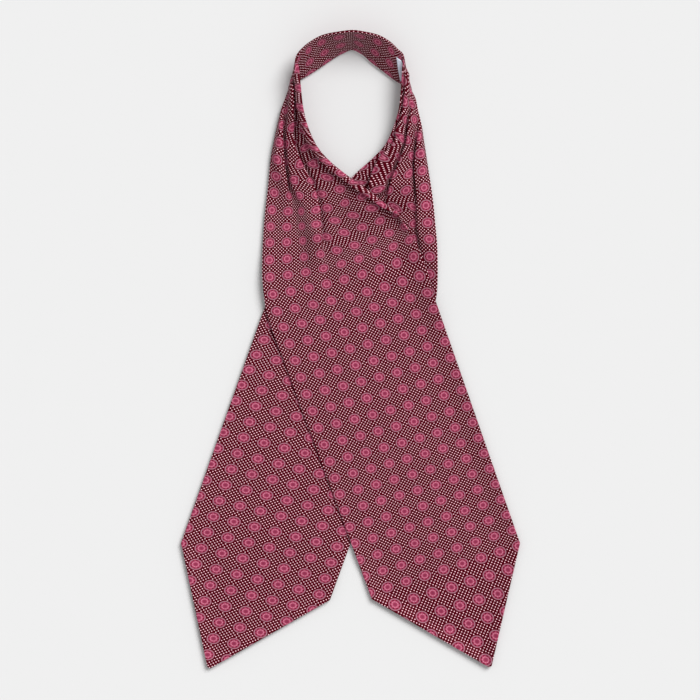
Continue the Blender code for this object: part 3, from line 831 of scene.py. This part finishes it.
def label_faces():
    """The label's face next to the silk, which way is outwards, and each point's place in millimetres."""
    places = np.linspace(LABEL_START_LOW, LABEL_END, LABEL_ROWS)
    patch = []
    for across in np.linspace(LABEL_LOW, LABEL_UP, LABEL_COLUMNS):
        share = (across - LABEL_LOW) / (LABEL_UP - LABEL_LOW)
        start = LABEL_START_LOW + share * (LABEL_START_UP - LABEL_START_LOW)
        patch.append(band_middle(np.linspace(start, LABEL_END, LABEL_ROWS), np.array([across]))[:, 0])
    middle = np.array(patch).transpose(1, 0, 2)
    inner_face, _ = faces_of(middle, places, BAND_WALL + 2 * LABEL_GAP, FROM_LEFT)
    normal, _ = normals_of(middle, places, FROM_LEFT)
    outwards = normal.mean(axis=(0, 1))
    outwards /= np.linalg.norm(outwards)
    width = np.linalg.norm(middle[0, -1] - middle[0, 0])
    length = np.linalg.norm(middle[-1, 0] - middle[0, 0])
    along, across = np.linspace(0, length, LABEL_ROWS), np.linspace(0, width, LABEL_COLUMNS)
    return inner_face, outwards, np.stack(np.meshgrid(along, across, indexing="ij"), axis=-1)


def make_label(material):
    """The small label inside the right shoulder, rounded off along all its edges."""
    inner_face, outwards, printed = label_faces()
    middle = inner_face + outwards * LABEL_WALL / 2
    half = np.zeros_like(middle) + outwards * LABEL_WALL / 2
    middle, half, printed = round_ends(middle, half, printed, LABEL_WALL)
    turned = [grid.transpose(1, 0, 2) for grid in (middle, half, printed)]
    middle, half, printed = (grid.transpose(1, 0, 2) for grid in round_ends(*turned, LABEL_WALL))
    return make_shell("label_ribbon", middle + half, middle - half, printed, material)


class Nodes:
    """Adds nodes to a tree, so that a pattern reads as the sum it is."""

    def __init__(self, tree):
        self.tree = tree

    def node(self, kind, inputs=None, **settings):
        """A node with these settings, each of its inputs a value or another node's output."""
        made = self.tree.nodes.new(kind)
        for name, value in settings.items():
            setattr(made, name, value)
        for key, value in (inputs or {}).items():
            if isinstance(value, bpy.types.NodeSocket):
                self.tree.links.new(value, made.inputs[key])
            else:
                made.inputs[key].default_value = value
        return made

    def sum(self, operation, *values):
        return self.node("ShaderNodeMath", dict(enumerate(values)), operation=operation).outputs[0]


class Cloth(Nodes):
    """Builds one material."""

    def __init__(self, name):
        self.material = bpy.data.materials.new(name)
        self.material.use_nodes = True
        super().__init__(self.material.node_tree)
        self.tree.nodes.clear()

    def position(self):
        return self.node("ShaderNodeTexCoord").outputs["Object"]

    def place(self):
        """The place on the flat cloth, which stays with it through its folds."""
        return self.node("ShaderNodeUVMap", uv_map="print").outputs["UV"]

    def fade(self, value, full, none):
        """1 up to full, 0 from none on, and smooth between them."""
        inputs = {"Value": value, "From Min": full, "From Max": none, "To Min": 1.0, "To Max": 0.0}
        return self.node("ShaderNodeMapRange", inputs, interpolation_type="SMOOTHSTEP").outputs[0]

    def ring(self, value, ring):
        """1 on a ring at this radius, and smooth down to 0 on both sides of it."""
        aside = self.sum("ABSOLUTE", self.sum("SUBTRACT", value, ring.radius))
        return self.fade(aside, ring.full, ring.none)

    def between(self, value, low, high):
        inputs = {"Value": value, "To Min": low, "To Max": high}
        return self.node("ShaderNodeMapRange", inputs).outputs[0]

    def mix(self, share, first, second):
        return self.node("ShaderNodeMix", {0: share, 6: first, 7: second}, data_type="RGBA").outputs[2]

    def noise(self, vector, scale, detail=2.0):
        inputs = {"Vector": vector, "Scale": scale, "Detail": detail}
        return self.node("ShaderNodeTexNoise", inputs).outputs["Fac"]

    def finish(self, surface):
        """The material, once its surface has these inputs."""
        shader = self.node("ShaderNodeBsdfPrincipled", surface)
        self.node("ShaderNodeOutputMaterial", {"Surface": shader.outputs[0]})
        return self.material


def colour(value):
    """A colour with the fourth number that sockets ask for."""
    return (*value[:3], 1.0)


def past_whole(cloth, value):
    """How far a value is past the nearest whole number, or short of it where it is negative."""
    return cloth.sum("SUBTRACT", value, cloth.sum("ROUND", value))


def length_of(cloth, first, second):
    """How long the way is that goes this far one way and this far square to it."""
    square = cloth.sum("ADD", cloth.sum("MULTIPLY", first, first), cloth.sum("MULTIPLY", second, second))
    return cloth.sum("SQRT", square)


def silk_print(cloth, across, along, look):
    """Pin dots on a dark ground, and a round medallion at each whole number of repeats both ways."""
    rising, falling = (
        past_whole(cloth, cloth.sum("MULTIPLY", cloth.sum(way, along, across), DOTS_A_REPEAT / 2))
        for way in ("ADD", "SUBTRACT")
    )
    dot_edge = [look.dot_size * share for share in DOT_EDGE]
    dot = cloth.fade(length_of(cloth, rising, falling), *dot_edge)
    ground = cloth.mix(dot, colour(look.ground), colour(look.dots))
    x, y = past_whole(cloth, across), past_whole(cloth, along)
    radius = cloth.sum("DIVIDE", length_of(cloth, x, y), look.medallion_size)
    angle = cloth.sum("ARCTAN2", y, x)
    beads = cloth.sum("COSINE", cloth.sum("MULTIPLY", angle, BEADS))
    petals = cloth.sum("COSINE", cloth.sum("MULTIPLY", angle, PETALS))
    flower = cloth.mix(cloth.fade(radius, *HEART), colour(look.rose), colour(look.heart))
    beaded = cloth.sum("MULTIPLY_ADD", beads, BEAD_SHARE, BEAD_BASE)
    pearls = cloth.sum("MULTIPLY", cloth.ring(radius, PEARLS), beaded)
    flower = cloth.mix(pearls, flower, colour(look.pearls))
    spots = cloth.sum("MULTIPLY", cloth.ring(radius, SPOTS), cloth.fade(petals, *BETWEEN_PETALS))
    flower = cloth.mix(spots, flower, colour(look.ground))
    flower = cloth.mix(cloth.ring(radius, RIM), flower, colour(look.rim))
    ground = cloth.mix(cloth.fade(radius, *CLEAR_OF_DOTS), ground, colour(look.ground))
    return cloth.mix(cloth.fade(radius, *MEDALLION_EDGE), ground, flower)


def silk_material(look):
    """Printed silk twill: the print follows the cloth, and the fine ribs of the twill catch the light."""
    cloth = Cloth("printed_silk")
    place = cloth.place()
    parts = cloth.node("ShaderNodeSeparateXYZ", {"Vector": place})
    print_colour = silk_print(cloth, parts.outputs["X"], parts.outputs["Y"], look)
    position = cloth.position()
    uneven = cloth.noise(position, UNEVEN_SILK, 3.0)
    value = cloth.between(uneven, *SILK_TONES)
    worn = cloth.node("ShaderNodeHueSaturation", {"Color": print_colour, "Value": value})
    ribs = cloth.node(
        "ShaderNodeTexWave",
        {"Vector": place, "Scale": look.ribs, "Distortion": 0.6, "Detail": 1.0, "Detail Scale": 2.0},
        bands_direction="DIAGONAL",
    ).outputs["Fac"]
    relief = cloth.sum("MULTIPLY_ADD", cloth.noise(position, SLUBS, 1.0), SLUB_RELIEF, ribs)
    bump = cloth.node("ShaderNodeBump", {"Height": relief, "Strength": 0.35, "Distance": 0.00008})
    surface = {
        "Base Color": worn.outputs[0],
        "Roughness": cloth.between(uneven, *SILK_ROUGHNESS),
        "Normal": bump.outputs[0],
        "Sheen Weight": look.sheen,
        "Sheen Roughness": 0.4,
        "Sheen Tint": (0.9, 0.25, 0.35, 1.0),
        "Specular IOR Level": 0.14,
        "Specular Tint": (1.0, 0.18, 0.28, 1.0),
    }
    return cloth.finish(surface)


def label_material(look):
    """Bare woven ribbon: fine warp and weft, a little uneven."""
    cloth = Cloth("bare_ribbon")
    wave = {"Vector": cloth.place(), "Scale": look.threads, "Distortion": 0.4, "Detail": 1.0}
    warp, weft = (
        cloth.node("ShaderNodeTexWave", wave, bands_direction=way).outputs["Fac"] for way in ("X", "Y")
    )
    threads = cloth.sum("MULTIPLY", warp, weft)
    uneven = cloth.noise(cloth.position(), UNEVEN_RIBBON)
    shade = cloth.sum("MULTIPLY_ADD", uneven, RIBBON_SHADE, threads)
    tone = cloth.mix(shade, colour(look.shade), colour(look.cloth))
    bump = cloth.node("ShaderNodeBump", {"Height": threads, "Strength": 0.4, "Distance": 0.0001})
    surface = {"Base Color": tone, "Roughness": 0.55, "Normal": bump.outputs[0], "Sheen Weight": 0.2}
    return cloth.finish(surface)


def thread_material(look):
    """Sewing thread, a little uneven along its fibres."""
    cloth = Cloth("sewing_thread")
    fibres = cloth.noise(cloth.position(), THREAD_FIBRES)
    tone = cloth.mix(fibres, colour(look.shade), colour(look.thread))
    return cloth.finish({"Base Color": tone, "Roughness": 0.6, "Sheen Weight": 0.3})


def floor_material(tone):
    """Pale paper, barely uneven."""
    cloth = Cloth("pale_paper")
    grain = cloth.noise(cloth.position(), PAPER_GRAIN)
    darker = [value * PAPER_DARKER for value in tone]
    paper = cloth.mix(grain, colour(darker), colour(tone))
    return cloth.finish({"Base Color": paper, "Roughness": 0.95})


def stitch_tree():
    """Stitches along an edge path: short rounded runs of thread, a gap apart, a little unevenly turned."""
    tree = bpy.data.node_groups.new("stitches along a path", "GeometryNodeTree")
    face = tree.interface
    face.new_socket(name="Path", in_out="INPUT", socket_type="NodeSocketGeometry")
    for name in ("Stitch length", "Pitch", "Thread thickness", "Unevenness"):
        face.new_socket(name=name, in_out="INPUT", socket_type="NodeSocketFloat")
    face.new_socket(name="Seed", in_out="INPUT", socket_type="NodeSocketInt")
    face.new_socket(name="Thread", in_out="INPUT", socket_type="NodeSocketMaterial")
    face.new_socket(name="Stitches", in_out="OUTPUT", socket_type="NodeSocketGeometry")
    nodes = Nodes(tree)
    given = nodes.node("NodeGroupInput").outputs
    path = nodes.node("GeometryNodeMeshToCurve", {"Mesh": given["Path"]})
    points = nodes.node(
        "GeometryNodeCurveToPoints",
        {"Curve": path.outputs["Curve"], "Length": given["Pitch"]},
        mode="LENGTH",
    ).outputs
    thick, uneven = given["Thread thickness"], given["Unevenness"]
    ball = nodes.node("GeometryNodeMeshIcoSphere", {"Subdivisions": 2, "Radius": 0.5})
    size = nodes.node("ShaderNodeCombineXYZ", {"X": thick, "Y": thick, "Z": given["Stitch length"]})
    swing = nodes.node(
        "FunctionNodeRandomValue",
        {"Min": nodes.sum("MULTIPLY", uneven, -1.0), "Max": uneven, "Seed": given["Seed"]},
        data_type="FLOAT_VECTOR",
    )
    swing = nodes.node("FunctionNodeEulerToRotation", {"Euler": swing.outputs["Value"]})
    turn = nodes.node(
        "FunctionNodeRotateRotation",
        {"Rotation": points["Rotation"], "Rotate By": swing.outputs["Rotation"]},
        rotation_space="LOCAL",
    )
    stitches = {
        "Points": points["Points"],
        "Instance": ball.outputs["Mesh"],
        "Rotation": turn.outputs["Rotation"],
        "Scale": size.outputs["Vector"],
    }
    placed = nodes.node("GeometryNodeInstanceOnPoints", stitches).outputs["Instances"]
    whole = nodes.node("GeometryNodeRealizeInstances", {"Geometry": placed}).outputs["Geometry"]
    dressed = nodes.node("GeometryNodeSetMaterial", {"Geometry": whole, "Material": given["Thread"]})
    nodes.node("NodeGroupOutput", {"Stitches": dressed.outputs["Geometry"]})
    return tree


def make_stitches(look):
    """A run of stitches just inside the label's edges, on its outer face."""
    inner_face, outwards, _ = label_faces()
    face = inner_face + outwards * LABEL_WALL
    row_step = np.linalg.norm(face[1, 0] - face[0, 0])
    column_step = np.linalg.norm(face[0, 1] - face[0, 0])
    i, j = max(1, round(LABEL_HEM / row_step)), max(1, round(LABEL_HEM / column_step))
    block = face[i:-i, j:-j]
    path = np.concatenate([block[0, :-1], block[:-1, -1], block[-1, :0:-1], block[:0:-1, 0]]) * MM
    mesh = bpy.data.meshes.new("stitch_path")
    mesh.from_pydata(path.tolist(), [(k, (k + 1) % len(path)) for k in range(len(path))], [])
    base = bpy.data.objects.new("stitch_path", mesh)
    bpy.context.scene.collection.objects.link(base)
    tree = stitch_tree()
    modifier = base.modifiers.new("stitches", "NODES")
    modifier.node_group = tree
    values = {
        "Stitch length": look.stitch_length,
        "Pitch": look.stitch_pitch,
        "Thread thickness": look.thread_thickness,
        "Unevenness": STITCH_UNEVENNESS,
        "Seed": STITCH_SEED,
        "Thread": thread_material(look),
    }
    for item in tree.interface.items_tree:
        if item.in_out == "INPUT" and item.name in values:
            modifier[item.identifier] = values[item.name]
    made = base.evaluated_get(bpy.context.evaluated_depsgraph_get())
    result = bpy.data.meshes.new_from_object(made)
    result.name = "label_stitches"
    base.modifiers.remove(modifier)
    bpy.data.objects.remove(base)
    piece = bpy.data.objects.new("label_stitches", result)
    bpy.context.scene.collection.objects.link(piece)
    result.shade_smooth()
    return piece


def colour_property(name, description, default):
    return bpy.props.FloatVectorProperty(
        name=name, description=description, default=default, subtype="COLOR", size=3, min=0, max=1
    )


def number_property(name, description, default, least, most, **kind):
    return bpy.props.FloatProperty(
        name=name, description=description, default=default, min=least, max=most, **kind
    )


class CravatSilk(bpy.types.PropertyGroup):
    """The silk and its print."""

    ground: colour_property("Ground", "Colour of the silk between the dots", default=(0.066, 0.0, 0.0042))
    dots: colour_property("Dots", "Colour of the pin dots", default=(1.0, 0.60, 0.68))
    heart: colour_property(
        "Medallion's heart", "Colour in the middle of a medallion", default=(0.220, 0.030, 0.068)
    )
    rose: colour_property(
        "Medallion's rose", "Colour of a medallion between its rings", default=(0.300, 0.038, 0.086)
    )
    pearls: colour_property(
        "Medallion's pearls",
        "Colour of the ring of pearls round a medallion's heart",
        default=(0.61, 0.22, 0.31),
    )
    rim: colour_property(
        "Medallion's rim", "Colour of the thin outer ring of a medallion", default=(0.31, 0.175, 0.210)
    )
    dot_size: number_property(
        "Dot size",
        "Radius of a dot as a share of the distance between dots",
        default=0.200, least=0.05, most=0.45, subtype="FACTOR",
    )
    medallion_size: number_property(
        "Medallion size",
        "Radius of a medallion as a share of the print's repeat",
        default=0.325, least=0.1, most=0.45, subtype="FACTOR",
    )
    ribs: number_property(
        "Twill ribs",
        "How fine the twill's ribs are, in waves for each repeat of the print",
        default=12.0, least=1.0, most=60.0,
    )
    sheen: number_property(
        "Sheen",
        "How much the silk shimmers where it turns away",
        default=0.03, least=0.0, most=1.0, subtype="FACTOR",
    )


class CravatLabel(bpy.types.PropertyGroup):
    """The bare label and its stitches."""

    cloth: colour_property("Ribbon", "Colour of the label's threads", default=(0.80, 0.84, 0.94))
    shade: colour_property(
        "Between threads", "Colour between the label's threads", default=(0.62, 0.67, 0.80)
    )
    thread: colour_property("Thread", "Colour of the sewing thread", default=(0.70, 0.74, 0.80))
    threads: number_property(
        "Fineness",
        "How fine the label's weave is, in waves for each millimetre",
        default=0.6, least=0.1, most=5.0,
    )
    stitch_length: number_property(
        "Stitch length", "Length of one stitch", default=0.0013, least=0.0002, most=0.01, unit="LENGTH"
    )
    stitch_pitch: number_property(
        "Stitch pitch",
        "Distance from one stitch to the next",
        default=0.0018, least=0.0003, most=0.02, unit="LENGTH",
    )
    thread_thickness: number_property(
        "Thread thickness",
        "Thickness of the sewing thread",
        default=0.00032, least=0.0001, most=0.002, unit="LENGTH",
    )


class CravatStage(bpy.types.PropertyGroup):
    """The surface it lies on, the light and the camera."""

    floor: colour_property("Surface", "Colour of the surface the cravat lies on", default=(0.70, 0.70, 0.70))
    sky: number_property(
        "All-round light", "Strength of the light from all round", default=0.55, least=0.0, most=5.0
    )
    sun: number_property(
        "Lamp", "Strength of the soft lamp from the upper right", default=3.12, least=0.0, most=20.0
    )
    lens: number_property(
        "Lens", "Focal length of the camera, in millimetres", default=300.0, least=20.0, most=600.0
    )
    camera_height: number_property(
        "Camera height",
        "How high the camera is above the surface",
        default=5.524, least=0.5, most=10.0, unit="LENGTH",
    )


def silk():
    """The printed silk, made once for all its pieces."""
    return bpy.data.materials.get("printed_silk") or silk_material(bpy.context.scene.cravat_silk)


def dress(piece, node):
    """Puts a finished piece in the place of its solid."""
    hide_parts(node)
    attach(piece, "root")


class CRAVAT_OT_under_blade(bpy.types.Operator):
    """Add the strip that runs from the right shoulder, under, to the lower left blade"""

    bl_idname = "cravat.under_blade"
    bl_label = "Under blade"

    def execute(self, context):
        piece = make_blade("under_blade_silk", UNDER, FROM_RIGHT, silk())
        dress(piece, "under_blade")
        return {"FINISHED"}


class CRAVAT_OT_over_blade(bpy.types.Operator):
    """Add the strip that runs from the left shoulder, over, to the lower right blade"""

    bl_idname = "cravat.over_blade"
    bl_label = "Over blade"

    def execute(self, context):
        below = middle_of(UNDER, FROM_RIGHT, *BELOW_STEPS)[:3]
        upper, _ = faces_of(*below, FROM_RIGHT)
        piece = make_blade("over_blade_silk", OVER, FROM_LEFT, silk(), height_over(upper))
        dress(piece, "over_blade")
        return {"FINISHED"}


class CRAVAT_OT_neckband(bpy.types.Operator):
    """Add the folded band round the back of the neck"""

    bl_idname = "cravat.neckband"
    bl_label = "Neckband"

    def execute(self, context):
        piece = make_neckband(silk())
        dress(piece, "neckband")
        return {"FINISHED"}


class CRAVAT_OT_label(bpy.types.Operator):
    """Add the bare label inside the right shoulder, with its stitches"""

    bl_idname = "cravat.label"
    bl_label = "Label and stitches"

    def execute(self, context):
        look = context.scene.cravat_label
        stitches = make_stitches(look)
        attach(stitches, "root")
        piece = make_label(label_material(look))
        dress(piece, "label")
        return {"FINISHED"}


class CRAVAT_OT_stage(bpy.types.Operator):
    """Add the pale surface, the soft light and the camera straight above"""

    bl_idname = "cravat.stage"
    bl_label = "Surface, light and camera"

    def execute(self, context):
        look = context.scene.cravat_stage
        mesh = bpy.data.meshes.new("surface")
        signs = ((-1, -1), (1, -1), (1, 1), (-1, 1))
        corners = [(x * FLOOR_SIZE, y * FLOOR_SIZE, -FLOOR_DROP) for x, y in signs]
        mesh.from_pydata(corners, [], [(0, 1, 2, 3)])
        mesh.materials.append(floor_material(look.floor))
        floor = bpy.data.objects.new("surface", mesh)
        lamp = bpy.data.objects.new("soft_lamp", bpy.data.lights.new("soft_lamp", "SUN"))
        lamp.data.energy = look.sun
        lamp.data.angle = math.radians(LAMP_SIZE)
        lamp.rotation_euler = (math.radians(LAMP_TILT), 0, math.radians(LAMP_SIDE))
        camera = bpy.data.objects.new("camera", bpy.data.cameras.new("camera"))
        camera.data.lens = look.lens
        camera.data.clip_end = SEES_TO
        camera.location = (*CAMERA_ASIDE, look.camera_height)
        for thing in (floor, lamp, camera):
            context.scene.collection.objects.link(thing)
        context.scene.camera = camera
        world = bpy.data.worlds.new("all-round light")
        world.use_nodes = True
        background = world.node_tree.nodes["Background"]
        background.inputs["Color"].default_value = (1, 1, 1, 1)
        background.inputs["Strength"].default_value = look.sky
        context.scene.world = world
        context.scene.view_settings.view_transform = "Standard"
        return {"FINISHED"}


class CRAVAT_PT_pieces(bpy.types.Panel):
    """The cravat's pieces and their sizes and colours"""

    bl_idname = "CRAVAT_PT_pieces"
    bl_label = "Cravat"
    bl_space_type = "VIEW_3D"
    bl_region_type = "UI"
    bl_category = "Cravat"

    def draw(self, context):
        for title, (where, group) in GROUPS.items():
            box = self.layout.box()
            box.label(text=title)
            values = getattr(context.scene, where)
            for name in group.__annotations__:
                box.prop(values, name)
        for operator in OPERATORS:
            self.layout.operator(operator.bl_idname)


GROUPS = {
    "Silk": ("cravat_silk", CravatSilk),
    "Label": ("cravat_label", CravatLabel),
    "Stage": ("cravat_stage", CravatStage),
}
OPERATORS = (
    CRAVAT_OT_under_blade,
    CRAVAT_OT_over_blade,
    CRAVAT_OT_neckband,
    CRAVAT_OT_label,
    CRAVAT_OT_stage,
)


def register():
    for name, group in GROUPS.values():
        bpy.utils.register_class(group)
        setattr(bpy.types.Scene, name, bpy.props.PointerProperty(type=group))
    for operator in OPERATORS:
        bpy.utils.register_class(operator)
    bpy.utils.register_class(CRAVAT_PT_pieces)


def unregister():
    bpy.utils.unregister_class(CRAVAT_PT_pieces)
    for operator in reversed(OPERATORS):
        bpy.utils.unregister_class(operator)
    for name, group in GROUPS.values():
        delattr(bpy.types.Scene, name)
        bpy.utils.unregister_class(group)


def main():
    register()
    bpy.ops.cravat.under_blade()
    bpy.ops.cravat.over_blade()
    bpy.ops.cravat.neckband()
    bpy.ops.cravat.label()
    bpy.ops.cravat.stage()
    bpy.context.view_layer.update()


if __name__ == "__main__":
    main()
